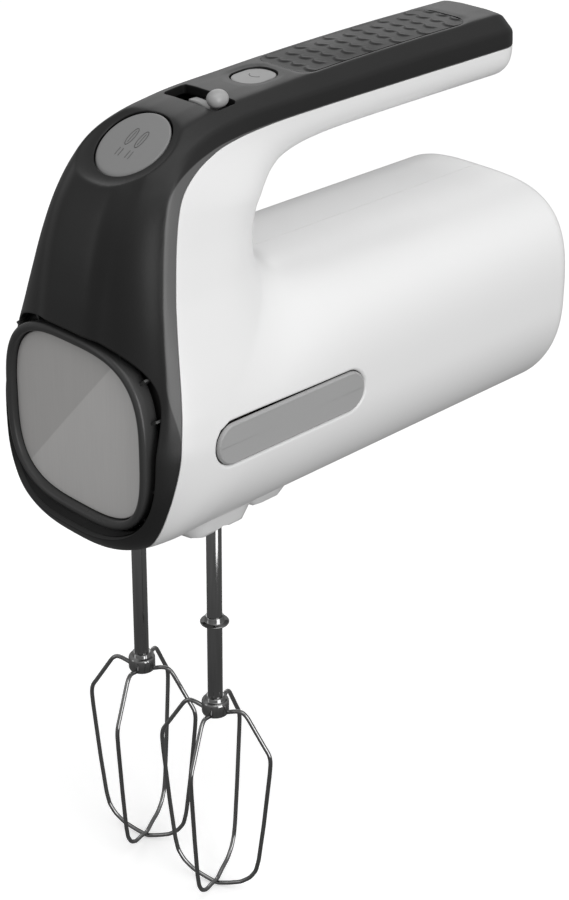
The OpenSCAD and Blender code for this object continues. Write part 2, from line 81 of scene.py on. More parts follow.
# ---- skin of the mixer
# Side view of the skin, from the heel to the handle's end: outside and inside of the C, as (Y, Z).
OUTER_LINE = np.array([
    (REAR_Y - HEEL_ROUND, BELLY_Z), (115, BELLY_Z), (75, BELLY_Z), (35, BELLY_Z), (0, BELLY_Z),
    (-23, BELLY_Z + 0.6), (-34.2, BELLY_Z + 2), (-44.6, BELLY_Z + 5.8), (-50.2, BELLY_Z + 15.6),
    (-51.7, BELLY_Z + 26.6), (-51.5, BELLY_Z + 39), (-50.8, BELLY_Z + 52), (-49.2, 222), (-46.5, 236.8),
    (-44.2, 251.3), (-40.7, 266.6), (-35.3, 279.8), (-25.7, 291.6), (-10.7, 299), (8.9, 303.1),
    (34.9, 304.8), (65, TOP_Z - 0.8), (105, TOP_Z), (147, TOP_Z)])
INNER_LINE = np.array([
    (REAR_Y - HEEL_ROUND, ROOF_Z), (115, ROOF_Z), (75, ROOF_Z), (50, ROOF_Z), (39, ROOF_Z + 0.2),
    (33, ROOF_Z + 1.1), (28.8, ROOF_Z + 2.8), (26, ROOF_Z + 5), (24.2, ROOF_Z + 7.4),
    (23, ROOF_Z + 9.8), (22.3, ROOF_Z + 12), (22, ROOF_Z + 14.2), (21.9, 261), (22.2, 263.5),
    (23, 266), (24.4, 268.8), (26.6, 271.6), (29.8, 274.4), (34.5, 277.3), (41, 279.6),
    (53, 281.6), (69, 282.4), (105, 282.6), (147, 282.6)])
# How far each station takes its width from the neck, and the neck's half width by height.
NECK_MIX = np.array([0, 0, 0, 0.05, 0.25, 0.5, 0.75, 0.9] + [1] * 16, float)
NECK_LINE = np.array([
    (158, 44.5), (205, 44.3), (215, 42.8), (225, 40.2), (237, 36.4), (251, 32), (265, 28.8),
    (277, 26.6), (287, 24.8), (295, 22.6), (304, 20)])
# Joint between housing and cover in side view, from the handle's end down to the belly.
SEAM_LINE = np.array([
    (180, SEAM_Z), (60, SEAM_Z - 0.1), (30.4, SEAM_Z - 0.4), (15.8, SEAM_Z - 1), (4.2, SEAM_Z - 2.2),
    (-5.8, 290), (-12.6, 286.4), (-16.5, 282.9), (-18.8, 278.5), (-21, 271.6), (-23.9, 259.8),
    (-26.5, 248.2), (-28.7, 238), (-30.8, 226.9), (-32.2, 219), (-33.8, 210), (-35, 200.4),
    (-36.8, 191.5), (-38.1, 183.4), (-38.8, 172), (-36.4, 163.5), (-28, 158), (-21, 150)])
# Upper half section of the handle, as shares of its half width and depth: a flat top, a sloping
# shoulder and an upright side. On the deeper sections of the nose the shoulder keeps its depth.
HANDLE_LINE = np.array([
    (0, 0), (0.3, 0.0), (0.62, 0.035), (0.70, 0.06), (0.955, 0.40), (0.985, 0.5), (1, 0.8), (1, 1)])
HANDLE_HALF = 12.2      # half depth of the handle's own section
AROUND = 176
QUARTER = AROUND // 4
LAST = len(OUTER_LINE) - 1
# Rings from one station to the next.
RING_STEPS = [8, 10, 16, 24, 16] + [12] * 7 + [20] * (LAST - 12)


KEY_Y, KEY_Z = -14.5, 294.1
KEY_TILT = math.radians(33)
KEY_R = 13.3
KEY_HALF = (KEY_R, KEY_R * math.cos(KEY_TILT))   # seen from above
WELL_GAP = 0.4
SCOOP_CURVE = 0.055
SLOT_MID = (1.4, 12.8)
SLOT_HALF = (12.2, 4.9)
TURBO_Y = 38.5
TURBO_HOLE = (6.9, 8.0)
TURBO_ROUND = 6.2
GRIP_Y = 92.0
GRIP_HALF = (12.0, 42.0)
GRIP_ROUND = 6.0
BED_EDGE = 1.5          # how far the grip's bed reaches past the grip
INLAY_Y, INLAY_Z = 14.0, 203.0
INLAY_HALF = (34.4, 7.4)
INLAY_GAP = 0.25
OPENING = (37.4, 35.0)
BAND = 4.4              # width of the painted highlight band beside the joint, where the skin stays flush before the facet falls away
GLAND_Z = 222.0


def spline(points, t):
    """Catmull-Rom value of a list at the fractional place t."""
    i = int(math.floor(t))
    f = t - i
    a, b, c, d = (points[max(0, min(len(points) - 1, i + k))] for k in (-1, 0, 1, 2))
    return b + 0.5 * f * ((c - a) + f * ((2 * a - 5 * b + 4 * c - d) + f * (3 * (b - c) + d - a)))


def ramp(low, high, v):
    f = np.clip((v - low) / (high - low), 0, 1)
    return f * f * (3 - 2 * f)


def mix(a, b, f):
    return a + (b - a) * f


def unit(v):
    """Rows scaled to length one; rows of length nothing stay."""
    return v / np.maximum(np.linalg.norm(v, axis=1, keepdims=True), 1e-9)


def signed_pow(v, p):
    return np.sign(v) * np.abs(v) ** p


def quarter_turn(count, start=0):
    """Angles in radians from start to 90 degrees."""
    return np.radians(np.linspace(start, 90, count))


def smooth_line(line, step, reach):
    """The line resampled every step millimetres and smoothed over reach samples each way."""
    line = np.asarray(line, float)
    along = np.r_[0, np.cumsum(np.linalg.norm(np.diff(line, axis=0), axis=1))]
    fine = np.linspace(0, along[-1], int(along[-1] / step) + 1)
    points = np.c_[np.interp(fine, along, line[:, 0]), np.interp(fine, along, line[:, 1])]
    kernel = np.hanning(2 * reach + 3)[1:-1]
    kernel /= kernel.sum()
    first, last = points[0], points[-1]
    padded = np.r_[2 * first - points[reach:0:-1], points, 2 * last - points[-2:-reach - 2:-1]]
    return np.c_[np.convolve(padded[:, 0], kernel, "valid"),
                 np.convolve(padded[:, 1], kernel, "valid")]


SEAM = smooth_line(SEAM_LINE, 1.0, 6)
NECK = smooth_line(NECK_LINE, 1.0, 4)
SECTION = smooth_line(HANDLE_LINE, 0.005, 11)
SECTION = SECTION[np.linspace(0, len(SECTION) - 1, QUARTER + 1).astype(int)]
SECTION[0, 0] = 0


def ring(t, inward, shift):
    """One closed ring of the skin at station t, drawn in by inward and moved along by shift."""
    outer, inner = spline(OUTER_LINE, t), spline(INNER_LINE, t)
    long = np.linalg.norm(inner - outer)
    along = (inner - outer) / long
    outer, inner = outer + along * inward, inner - along * inward
    waist = mix((WAIST_Z - BELLY_Z) / (ROOF_Z - BELLY_Z), 0.5, ramp(9, 18, t))
    blend = spline(NECK_MIX, t)
    # Power of the superellipse on the outside of the C: round at the belly, fuller up the nose.
    n_handle = mix(3.5, 3.1, ramp(17, 20, t))
    n_out = mix(2.15, mix(3.1, n_handle, ramp(11, 14, t)), ramp(4, 9, t))
    a = 2 * np.pi * np.arange(AROUND) / AROUND
    c, s = np.cos(a), np.sin(a)
    n = np.where(c < 0, n_out, mix(3.3, 3.0, ramp(2, 6, t)))
    v, u = signed_pow(c, 2 / n), signed_pow(s, 2 / n)
    u[[0, 2 * QUARTER]] = 0
    creased = ramp(15.5, 18.5, t)
    k = np.arange(QUARTER, 3 * QUARTER + 1)
    half = SECTION[np.abs(k - 2 * QUARTER)]
    u[k] = mix(u[k], np.sign(2 * QUARTER - k) * half[:, 0], creased)
    share = min(1, HANDLE_HALF / (waist * long))
    v[k] = mix(v[k], mix(half[:, 1] ** 4, half[:, 1], share) - 1, creased)
    f = np.where(v < 0, waist * (1 + v), waist + (1 - waist) * v)
    p = outer + (inner - outer) * f[:, None]
    neck = np.minimum(BODY_W, np.interp(p[:, 1], NECK[:, 0], NECK[:, 1]))
    neck = mix(neck, HANDLE_W, ramp(16, 20, t))
    w = mix(BODY_W, neck, blend) - inward
    return np.c_[w * u, p[:, 0] + shift, p[:, 1]]


def loft(rings):
    """Points and faces of a closed body through rings of equal count, with a face over each end."""
    count = len(rings[0])
    k = np.arange(count)
    faces = []
    for r in range(len(rings) - 1):
        a, b = r * count + k, r * count + (k + 1) % count
        faces += np.c_[a, a + count, b + count, b].tolist()
    base = (len(rings) - 1) * count
    faces.append(list(range(count)))
    faces.append([base + j for j in range(count - 1, -1, -1)])
    return np.concatenate(rings), faces


def vertex_normals(points, faces):
    """Normals averaged over the faces round each point, weighted by area."""
    total = np.zeros_like(points)
    by_size = {}
    for f in faces:
        by_size.setdefault(len(f), []).append(f)
    for size, group in by_size.items():
        index = np.array(group)
        corner = points[index]
        area = np.zeros((len(group), 3))
        for j in range(1, size - 1):
            area += np.cross(corner[:, j] - corner[:, 0], corner[:, j + 1] - corner[:, 0])
        for j in range(size):
            np.add.at(total, index[:, j], area)
    return unit(total)


def skin():
    """The whole outer skin, with a rounded heel and a rounded handle end."""
    def rounded(t, turn, r):
        return ring(t, r * (1 - math.cos(turn)), r * math.sin(turn))

    def face(rim):
        return [rim.mean(0) + (rim - rim.mean(0)) * f for f in (0.03, 0.2, 0.4, 0.6, 0.8, 0.92)]

    turns = np.radians(np.linspace(90, 0, 13))
    rings = [rounded(0, q, HEEL_ROUND) for q in turns]
    rings = face(rings[0]) + rings
    for i, steps in enumerate(RING_STEPS):
        rings += [ring(i + (j + 1) / steps, 0, 0) for j in range(steps)]
    rings += [rounded(LAST, q, TIP_ROUND) for q in turns[-2::-1]]
    rings += face(rings[-1])[::-1]
    return loft(rings)


# ---- outlines as signed distances
# Each field takes points and gives millimetres, positive where the skin is kept.
FAR = 60.0


def seam_field(p):
    """Distance from the joint between housing and cover, positive on the cover's side."""
    out = np.empty(len(p))
    a, d = SEAM[:-1], np.diff(SEAM, axis=0)
    long2 = (d ** 2).sum(1)
    for start in range(0, len(p), 8000):
        q = p[start:start + 8000, None, 1:3] - a
        t = np.clip((q * d).sum(2) / long2, 0, 1)
        away = q - t[..., None] * d
        dist2 = (away ** 2).sum(2)
        near = dist2.argmin(1)
        row = np.arange(len(near))
        cross = d[near, 0] * q[row, near, 1] - d[near, 1] * q[row, near, 0]
        out[start:start + 8000] = -np.sign(cross) * np.sqrt(dist2[row, near])
    return out


def pill_field(a, b, centre, half, r):
    """Signed distance from a rounded rectangle, negative inside it."""
    q = np.abs(np.c_[a, b] - centre) - (np.array(half) - r)
    return np.linalg.norm(np.maximum(q, 0), axis=1) + np.minimum(q.max(1), 0) - r


def squircle_field(x, z, half, n):
    share = (np.abs(x / half[0]) ** n + np.abs((z - OPENING_Z) / half[1]) ** n) ** (1 / n)
    return (share - 1) * min(half)


def only(where, value):
    return np.where(where, value, FAR)



def well_field(p):
    a, b = KEY_HALF[0] + WELL_GAP, KEY_HALF[1] + WELL_GAP
    share = np.hypot(p[:, 0] / a, (p[:, 1] - KEY_Y) / b)
    return only(p[:, 2] > 262, (share - 1) * b)


def slot_field(p):
    return only(p[:, 2] > 290, pill_field(p[:, 0], p[:, 1], SLOT_MID, SLOT_HALF, 1.2))


def turbo_outline(x, y):
    return pill_field(x, y, (0, TURBO_Y), TURBO_HOLE, TURBO_ROUND)


def turbo_field(p):
    return only(p[:, 2] > 290, turbo_outline(p[:, 0], p[:, 1]))


def grip_field(p):
    return only(p[:, 2] > 290, pill_field(p[:, 0], p[:, 1], (0, GRIP_Y), GRIP_HALF, GRIP_ROUND))


def nose_field(p):
    return only(p[:, 1] < -20, squircle_field(p[:, 0], p[:, 2], OPENING, 3.0))


def inlay_field(p):
    half = (INLAY_HALF[0] + INLAY_GAP, INLAY_HALF[1] + INLAY_GAP)
    return only(np.abs(p[:, 0]) > 38, pill_field(p[:, 1], p[:, 2], (INLAY_Y, INLAY_Z), half, half[1]))


def socket_field(p):
    return only(p[:, 2] < 172, np.hypot(np.abs(p[:, 0]) - AXIS_X, p[:, 1]) - 4.7)


def gland_field(p):
    return only(p[:, 1] > 150, np.hypot(p[:, 0], p[:, 2] - GLAND_Z) - 6.1)


# ---- cutting and closing shells
SNAP = 0.02


class Patch:
    """An open piece of surface: points, normals, faces, and the cutters that each edge point is on."""

    def __init__(self, points, normals, faces, on=None):
        self.points, self.normals, self.faces, self.on = points, normals, faces, on or {}

    def cut(self, name, field, least):
        """The part where field is above least. Points on the new edge carry the cutter's name."""
        value = field(self.points) - least
        value[np.abs(value) < SNAP] = 0
        level = value.tolist()
        on = {i: set(names) for i, names in self.on.items()}
        for i in np.flatnonzero(value == 0).tolist():
            on.setdefault(i, set()).add(name)
        made, new, faces = {}, [], []
        base = len(self.points)

        def crossing(a, b):
            key = (a, b) if a < b else (b, a)
            if key not in made:
                f = level[key[0]] / (level[key[0]] - level[key[1]])
                made[key] = base + len(new)
                new.append((key[0], key[1], f))
                shared = on.get(a, set()) & on.get(b, set())
                on[made[key]] = {name} | shared
            return made[key]

        for f in self.faces:
            levels = [level[i] for i in f]
            if min(levels) >= 0:
                if max(levels) > 0:
                    faces.append(f)
                continue
            if max(levels) <= 0:
                continue
            kept = []
            for j, a in enumerate(f):
                b = f[(j + 1) % len(f)]
                if level[a] >= 0:
                    kept.append(a)
                if level[a] * level[b] < 0:
                    kept.append(crossing(a, b))
            if len(kept) > 2:
                faces.append(kept)
        points, normals = self.points, self.normals
        if new:
            ends = np.array([(a, b) for a, b, _ in new])
            f = np.array([[x] for _, _, x in new])
            points = np.r_[points, mix(points[ends[:, 0]], points[ends[:, 1]], f)]
            extra = mix(normals[ends[:, 0]], normals[ends[:, 1]], f)
            normals = np.r_[normals, unit(extra)]
        used = np.unique(np.concatenate([np.array(f) for f in faces]))
        renumber = np.full(len(points), -1)
        renumber[used] = np.arange(len(used))
        faces = [[int(renumber[i]) for i in f] for f in faces]
        on = {int(renumber[i]): names for i, names in on.items() if renumber[i] >= 0}
        return Patch(points[used], normals[used], faces, on)


def gradient(field, p):
    step = 0.05
    out = np.zeros_like(p)
    for axis in range(3):
        move = np.zeros(3)
        move[axis] = step
        out[:, axis] = field(p + move) - field(p - move)
    return out


def close_shell(patch, wall, cutters):
    """Rounds the edges of a patch inwards and closes it with an inner skin.

    cutters: name -> (field, edge radius, depth, direction or None for straight in).
    """
    directed = set()
    for f in patch.faces:
        directed.update(zip(f, f[1:] + f[:1]))
    rim = sorted((a, b) for a, b in directed if (b, a) not in directed)
    edge = sorted({i for pair in rim for i in pair})
    place = {i: k for k, i in enumerate(edge)}
    p, n = patch.points[edge], patch.normals[edge]
    out, down = np.zeros_like(p), np.zeros_like(p)
    radius, depth = np.full(len(edge), 9.0), np.full(len(edge), 0.0)
    for name, (field, r, deep, way) in cutters.items():
        rows = np.array([k for k, i in enumerate(edge) if name in patch.on.get(i, ())], int)
        if not len(rows):
            continue
        g = -gradient(field, p[rows])
        out[rows] += unit(g - (g * n[rows]).sum(1, keepdims=True) * n[rows])
        down[rows] += -n[rows] if way is None else np.array(way, float)
        radius[rows] = np.minimum(radius[rows], r)
        depth[rows] = np.maximum(depth[rows], deep)
    length2 = (out ** 2).sum(1, keepdims=True)
    out = np.where(length2 > 1.05, out * 2 / np.maximum(length2, 1e-9), out)
    down = unit(down)
    radius[radius > 8] = 0.2
    radius, depth = radius[:, None], np.maximum(depth, 1.0)[:, None]
    levels, turned = [], []
    for turn in np.radians([30, 60, 90]):
        levels.append(p + out * radius * math.sin(turn) + down * radius * (1 - math.cos(turn)))
        turned.append(n * math.cos(turn) + out * math.sin(turn))
    levels.append(p + out * radius + down * depth)
    turned.append(out)
    count, size = len(patch.points), len(edge)
    points = np.concatenate([patch.points, *levels, patch.points - patch.normals * wall])
    normals = np.concatenate([patch.normals, *turned, -patch.normals])
    inner = count + len(levels) * size
    faces = list(patch.faces)
    chain = {i: [i, *(count + k * size + place[i] for k in range(len(levels))), inner + i]
             for i in edge}
    for a, b in rim:
        for k in range(len(levels) + 1):
            faces.append([chain[b][k], chain[a][k], chain[a][k + 1], chain[b][k + 1]])
    faces += [[inner + i for i in reversed(f)] for f in patch.faces]
    return points, faces, unit(normals)


# ---- meshes and simple bodies
def link(name, data):
    """A new object in the scene."""
    obj = bpy.data.objects.new(name, data)
    bpy.context.scene.collection.objects.link(obj)
    return obj


def piece(name, body, slot, material, points, faces, normals=None, nodes=()):
    """A mesh object from points in millimetres, riding on a body and standing for CAD nodes."""
    mesh = bpy.data.meshes.new(name)
    co = (np.asarray(points, float) + (0, AXIS_Y, 0)) * MM
    mesh.from_pydata(co.tolist(), [], [list(map(int, f)) for f in faces])
    mesh.shade_smooth()
    if normals is not None:
        mesh.normals_split_custom_set_from_vertices(normals.tolist())
    mesh.materials.append(material)
    obj = link(name, mesh)
    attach(obj, body)
    if nodes:
        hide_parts(*nodes)
    return obj


def crease(obj, degrees):
    """Keeps edges sharper than this angle crisp."""
    mesh = bpy.data.meshes[obj.data.name]
    work = bmesh.new()
    work.from_mesh(mesh)
    for e in work.edges:
        e.smooth = len(e.link_faces) != 2 or e.calc_face_angle(0) <= math.radians(degrees)
    work.to_mesh(mesh)
    work.free()


def ellipse(a, b, count):
    t = 2 * np.pi * np.arange(count) / count
    return np.c_[a * np.cos(t), b * np.sin(t)]


def superellipse(a, b, n, count):
    t = 2 * np.pi * np.arange(count) / count
    return np.c_[a * signed_pow(np.cos(t), 2 / n), b * signed_pow(np.sin(t), 2 / n)]


def pill(a, b, r, count):
    """Rounded rectangle of half sizes a and b; count is the points per corner."""
    out = []
    for k, (x, y) in enumerate([(1, 1), (-1, 1), (-1, -1), (1, -1)]):
        t = np.radians(90 * k + np.linspace(0, 90, count))
        out.append(np.c_[x * (a - r) + r * np.cos(t), y * (b - r) + r * np.sin(t)])
    return np.concatenate(out)


def outline_normals(line):
    d = np.roll(line, -1, axis=0) - np.roll(line, 1, axis=0)
    return unit(np.c_[d[:, 1], -d[:, 0]])


def plate(line, steps, crown=0.0):
    """Rings of an anticlockwise outline drawn in at each step's height, then a crowned top."""
    normal = outline_normals(line)
    rings = [np.c_[line - normal * inward, np.full(len(line), height)] for inward, height in steps]
    top = rings[-1]
    mid = np.r_[top[:, :2].mean(0), top[0, 2]]
    for share in (0.97, 0.9, 0.75, 0.6, 0.45, 0.3, 0.15, 0.04):
        level = mid + (top - mid) * share
        level[:, 2] += crown * (1 - share ** 2)
        rings.append(level)
    return rings


def placed(rings, origin, axes):
    """Rings moved to a frame given by its origin and its three axes."""
    axes = np.array(axes, float)
    return [np.asarray(r) @ axes + np.array(origin, float) for r in rings]


def sweep(path, r, sides):
    """Rings of a tube along a path of points."""
    path = np.asarray(path, float)
    along = unit(np.gradient(path, axis=0))
    side = np.cross(along[0], (0.0, 0.0, 1.0))
    if np.linalg.norm(side) < 0.1:
        side = np.cross(along[0], (0.0, 1.0, 0.0))
    side /= np.linalg.norm(side)
    t = 2 * np.pi * np.arange(sides) / sides
    rings = []
    for p, d in zip(path, along):
        side = side - (side @ d) * d
        side /= np.linalg.norm(side)
        up = np.cross(side, d)
        rings.append(p + r * (np.cos(t)[:, None] * side + np.sin(t)[:, None] * up))
    return rings


def lathe(profile, x, y, sides=48):
    """Rings of a turned body about a vertical axis: profile holds (radius, height)."""
    t = -2 * np.pi * np.arange(sides) / sides
    return [np.c_[x + r * np.cos(t), y + r * np.sin(t), np.full(sides, z)] for r, z in profile]


def volume(points, faces):
    total = 0.0
    for f in faces:
        a = points[f[0]]
        for j in range(1, len(f) - 1):
            total += np.dot(a, np.cross(points[f[j]], points[f[j + 1]]))
    return total


def turned_out(points, faces):
    """The body with its faces turned outwards."""
    return points, faces if volume(points, faces) >= 0 else [f[::-1] for f in faces]


def outward(rings):
    return turned_out(*loft(rings))


def joined(bodies):
    points, faces, base = [], [], 0
    for p, f in bodies:
        points.append(np.asarray(p))
        faces += [[i + base for i in one] for one in f]
        base += len(p)
    return np.concatenate(points), faces


def closed(name, body, slot, material, bodies, nodes=(), sharp=35):
    """One piece from closed bodies given as points and faces, crisp at edges over sharp degrees."""
    crease(piece(name, body, slot, material, *joined(bodies), nodes=nodes), sharp)


def solid(name, body, slot, material, bodies, nodes=(), sharp=35):
    """One piece from closed bodies given as rings."""
    closed(name, body, slot, material, [outward(rings) for rings in bodies], nodes, sharp)


# ---- materials
def add(tree, kind, values=(), links=(), **settings):
    """A new shader node with its settings, socket constants and incoming links."""
    node = tree.nodes.new(kind)
    for key, value in settings.items():
        setattr(node, key, value)
    for socket, value in values:
        node.inputs[socket].default_value = value
    for socket, source in links:
        tree.links.new(source, node.inputs[socket])
    return node


def shader(name, colour, rough, metallic=0.0, specular=0.5):
    """A Principled material, its node tree and the shader node."""
    material = bpy.data.materials.new(name)
    material.use_nodes = True
    tree = material.node_tree
    node = tree.nodes["Principled BSDF"]
    node.inputs["Base Color"].default_value = (*colour, 1)
    node.inputs["Roughness"].default_value = rough
    node.inputs["Metallic"].default_value = metallic
    node.inputs["Specular IOR Level"].default_value = specular
    return material, tree, node


def noise(tree, scale, detail, stretch=(1, 1, 1)):
    """A noise texture in the object's own coordinates, in cycles a metre."""
    where = add(tree, "ShaderNodeTexCoord")
    fit = add(tree, "ShaderNodeMapping", [("Scale", stretch)], [("Vector", where.outputs["Object"])])
    texture = add(tree, "ShaderNodeTexNoise", [("Scale", scale), ("Detail", detail)],
                  [("Vector", fit.outputs["Vector"])])
    return texture.outputs["Fac"]


def spread(tree, value, low, high, start=0.3, stop=0.7):
    """Maps a value's range from start to stop onto low to high."""
    ranges = [("From Min", start), ("From Max", stop), ("To Min", low), ("To Max", high)]
    return add(tree, "ShaderNodeMapRange", ranges, [("Value", value)]).outputs["Result"]


def tint(tree, value, low, high):
    """Mixes two colours by a value."""
    node = add(tree, "ShaderNodeMix", [("A", (*low, 1)), ("B", (*high, 1))], [("Factor", value)],
               data_type="RGBA")
    return node.outputs["Result"]


def bump(tree, height, strength, distance, shader_node):
    """Raises the surface by a value, distance in metres."""
    node = add(tree, "ShaderNodeBump", [("Strength", strength), ("Distance", distance)],
               [("Height", height)])
    tree.links.new(node.outputs["Normal"], shader_node.inputs["Normal"])


def coat(material, tree, node, colour, rough, height, depth, reach):
    """Joins colour, roughness and bump to the shader."""
    tree.links.new(colour, node.inputs["Base Color"])
    tree.links.new(rough, node.inputs["Roughness"])
    bump(tree, height, depth, reach, node)
    return material


def moulded(name, low, high, rough, grain, depth, specular=0.5):
    """Moulded plastic: faint cloudy colour, uneven gloss and a fine spark-eroded grain."""
    material, tree, node = shader(name, high, rough[0], specular=specular)
    cloud = tint(tree, spread(tree, noise(tree, 9, 3), 0, 1), low, high)
    gloss = spread(tree, noise(tree, 45, 4), *rough)
    return coat(material, tree, node, cloud, gloss, noise(tree, grain, 3), depth, 0.0001)


def metal(name, low, high, rough, stretch, grain, depth):
    """Metal with drawn or brushed streaks."""
    material, tree, node = shader(name, high, rough[0], metallic=1.0)
    streak = noise(tree, grain, 4, stretch)
    colour = tint(tree, spread(tree, streak, 0, 1), low, high)
    gloss = spread(tree, noise(tree, grain * 0.7, 3, stretch), *rough)
    return coat(material, tree, node, colour, gloss, streak, depth, 0.00005)


def grey(v, warm=0.0):
    return (v + warm, v, v - warm)


DULL = 0.36             # specular level of the dark plastics
WHITE = moulded("satin_white_plastic", grey(0.79), grey(0.80), (0.29, 0.33), 2200, 0.03)
CHARCOAL = moulded("spark_charcoal_plastic", grey(0.011), grey(0.015), (0.36, 0.44), 3800, 0.12, DULL)
BEZEL = moulded("bezel_charcoal_plastic", grey(0.042), grey(0.05), (0.26, 0.34), 3000, 0.06, DULL)
RUBBER = moulded("grip_rubber", grey(0.014), grey(0.020), (0.42, 0.54), 3000, 0.2, DULL)
KEY = moulded("key_grey_plastic", grey(0.24), grey(0.265), (0.34, 0.44), 3000, 0.08)
INLAY = moulded("inlay_grey_plastic", grey(0.34), grey(0.37), (0.36, 0.46), 3000, 0.08)
KNOB = moulded("knob_light_plastic", grey(0.33), grey(0.38), (0.28, 0.38), 2600, 0.05)
MARK = moulded("mark_dark_ink", grey(0.10), grey(0.13), (0.5, 0.6), 3000, 0.05)
CHROME = metal("beater_chrome", grey(0.235), grey(0.30), (0.07, 0.14), (1, 1, 0.05), 900, 0.05)
STEEL = metal("plain_steel", grey(0.45), grey(0.55), (0.25, 0.4), (1, 1, 1), 700, 0.1)


PAINTED_REFLECTION_SLANT = 1.12       # rise of the line between the painted reflection's two tones for each step across
PAINTED_REFLECTION_LINE = (0.2108, 0.2100)   # the painted reflection's dividing line: its height in metres at the middle, from edge to edge


def badge_material():
    """Satin plate with fine brushing and a painted reflection: a lighter and a darker tone that meet
    along a diagonal.
    """
    material, tree, node = shader("badge_satin_metal", grey(0.4), 0.38, metallic=0.2)
    where = add(tree, "ShaderNodeTexCoord")
    parts = add(tree, "ShaderNodeSeparateXYZ", links=[("Vector", where.outputs["Object"])])
    across = add(tree, "ShaderNodeMath", [(1, -PAINTED_REFLECTION_SLANT)],
                 [(0, parts.outputs["X"]), (2, parts.outputs["Z"])], operation="MULTIPLY_ADD")
    side = spread(tree, across.outputs[0], 0, 1, *PAINTED_REFLECTION_LINE)
    # Painted reflection: the plate is lighter on one side of the diagonal and darker on the other.
    two = tint(tree, side, grey(0.62, 0.010), grey(0.74, 0.010))
    brushed = noise(tree, 1500, 4, (1, 1, 0.04))
    streaks = tint(tree, spread(tree, brushed, 0, 1), grey(0.7), grey(1.0))
    fine = add(tree, "ShaderNodeMix", [("Factor", 0.12)], [("A", two), ("B", streaks)],
               data_type="RGBA", blend_type="MULTIPLY")
    gloss = spread(tree, brushed, 0.34, 0.46)
    return coat(material, tree, node, fine.outputs["Result"], gloss, brushed, 0.06, 0.00005)


def cover_material():
    """The charcoal plastic with a painted highlight: a lighter band along the joint, edged by the band
    attribute.
    """
    material, tree, node = shader("spark_charcoal_cover", grey(0.015), 0.4, specular=DULL)
    cloud = tint(tree, spread(tree, noise(tree, 9, 3), 0, 1), grey(0.010), grey(0.013))
    place = add(tree, "ShaderNodeAttribute", attribute_name="band")
    edge = spread(tree, place.outputs["Fac"], 0, 1, BAND + 0.25, BAND - 0.25)
    # Painted highlight: the band beside the joint gets a lighter grey than the charcoal around it.
    painted_highlight_mix = add(tree, "ShaderNodeMix", [("B", (*grey(0.10), 1))], [("Factor", edge), ("A", cloud)],
               data_type="RGBA")
    gloss = spread(tree, noise(tree, 45, 4), 0.36, 0.44)
    grain = noise(tree, 3800, 3)
    return coat(material, tree, node, painted_highlight_mix.outputs["Result"], gloss, grain, 0.12, 0.0001)


BADGE = badge_material()
COVER_PLASTIC = cover_material()

# ---- housings and cover
def shaped_skin():
    """The skin with its bosses, facet beside the joint, grip bed and scoop."""
    points, faces = skin()
    if vertex_normals(points, faces)[np.argmax(points[:, 0])][0] < 0:
        faces = [f[::-1] for f in faces]
    normals = vertex_normals(points, faces)
    x, y, z = points.T
    # Socket boss under the beaters and a smaller boss behind it.
    for half, r, mid, floor in (((25.5, 14), 7, 0, BELLY_Z - 0.4), ((23, 8), 4, 24, BELLY_Z + 0.6)):
        inside = 1 - ramp(-1.2, 1.4, pill_field(x, y, (0, mid), half, r))
        low = (z < 178) & (z > floor)
        z[low] += ((floor - z) * inside)[low]
    # Facet beside the joint line on the neck: the skin falls away behind a crisp crease.
    beyond = seam_field(points) - BAND
    on_neck = ramp(204, 226, z) * (1 - ramp(286, 296, z)) * ramp(8, 16, np.abs(x))
    fall = 1.5 * (1 - np.exp(-0.36 * np.maximum(beyond, 0))) * (1 - ramp(6, 30, beyond))
    # Grip bed, low enough for the scales to end level with the handle, and a dish round the turbo key.
    bed_half = (GRIP_HALF[0] + BED_EDGE, GRIP_HALF[1] + BED_EDGE)
    bed = pill_field(x, y, (0, GRIP_Y), bed_half, GRIP_ROUND + BED_EDGE)
    on_top = z > 300
    sunk = fall * on_neck + 0.5 * (1 - ramp(-2.2, 0, bed)) * on_top
    sunk += 0.35 * (1 - ramp(0.4, 2.6, turbo_outline(x, y))) * on_top
    points -= normals * sunk[:, None]
    # Scoop round the eject key: a shallow bowl about the key's face.
    dy, dz = points[:, 1] - KEY_Y, points[:, 2] - KEY_Z
    along = dy * math.cos(KEY_TILT) + dz * math.sin(KEY_TILT)
    above = dz * math.cos(KEY_TILT) - dy * math.sin(KEY_TILT)
    r = np.hypot(points[:, 0], along)
    extra = above - SCOOP_CURVE * np.maximum(r - KEY_R - WELL_GAP, 0) ** 2 + 0.1
    depth = 0.5 * (extra + np.sqrt(extra ** 2 + 0.16)) * (1 - ramp(24, 30, r)) * (above > -12)
    points -= depth[:, None] * (0, -math.sin(KEY_TILT), math.cos(KEY_TILT))
    return points, vertex_normals(points, faces), faces


POINTS, NORMALS, FACES = shaped_skin()
SKIN = Patch(POINTS, NORMALS, FACES)
GAP = 0.05              # half the gap between neighbouring pieces
SHELL_WALL = 2.0


def cut_all(patch, cutters):
    for name, (field, r, depth, way) in cutters.items():
        patch = patch.cut(name, field, r + GAP)
    return patch


def housing(side):
    """One half of the white body, on the side given by 1 or -1."""
    cutters = {
        "seam": (lambda p: -seam_field(p), 0.25, SHELL_WALL, None),
        "half": (lambda p: p[:, 0] * side, 0.03, SHELL_WALL, None),
        "inlay": (inlay_field, 1.3, 1.8, (-side, 0, 0)),
        "socket": (socket_field, 0.5, 6.0, (0, 0, 1)),
        "gland": (gland_field, 0.3, SHELL_WALL, (0, -1, 0))}
    return close_shell(cut_all(SKIN, cutters), SHELL_WALL, cutters)


